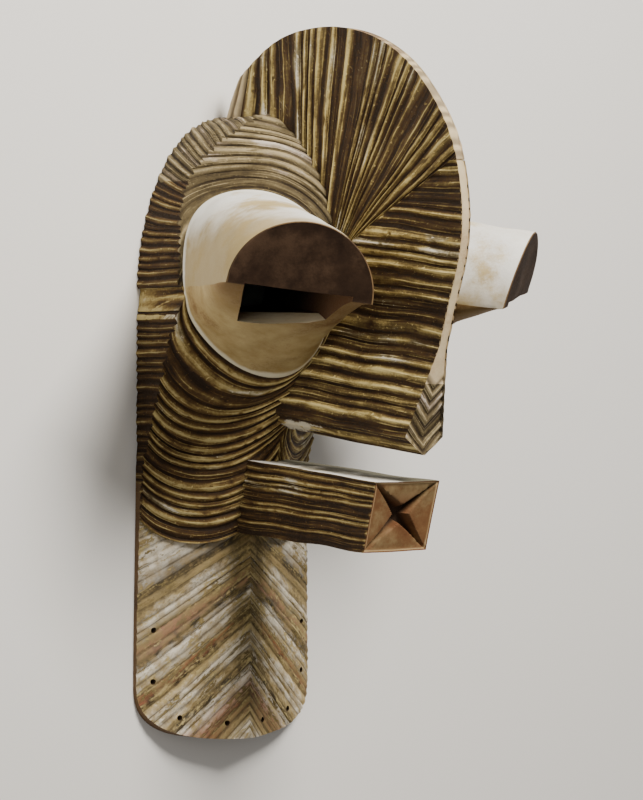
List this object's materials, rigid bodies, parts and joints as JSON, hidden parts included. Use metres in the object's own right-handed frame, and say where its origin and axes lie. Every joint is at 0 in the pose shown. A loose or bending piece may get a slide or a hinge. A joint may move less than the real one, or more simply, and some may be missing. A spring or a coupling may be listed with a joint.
{
  "type": "carved wooden kifwebe mask",
  "caption": "Hollow carved face mask with ribbed cheeks and brow, tube eyes with slits, a blade nose that runs up into a tall fan crest, a box mouth and a chevron chin with tying holes.",
  "frame": {"origin": "centre of the bounding box's bottom, on the plane of the mask's back rim", "axes": "+Y from the chin to the crown, +Z out of the face, +X across the face; the mask lies on its back rim"},
  "size_m": [0.368, 0.622, 0.297],
  "materials": {
    "painted_wood": "carved wood with worn matt earth paint"
  },
  "bodies": {
    "root": {"mask": "painted_wood"}
  },
  "joints": []
}
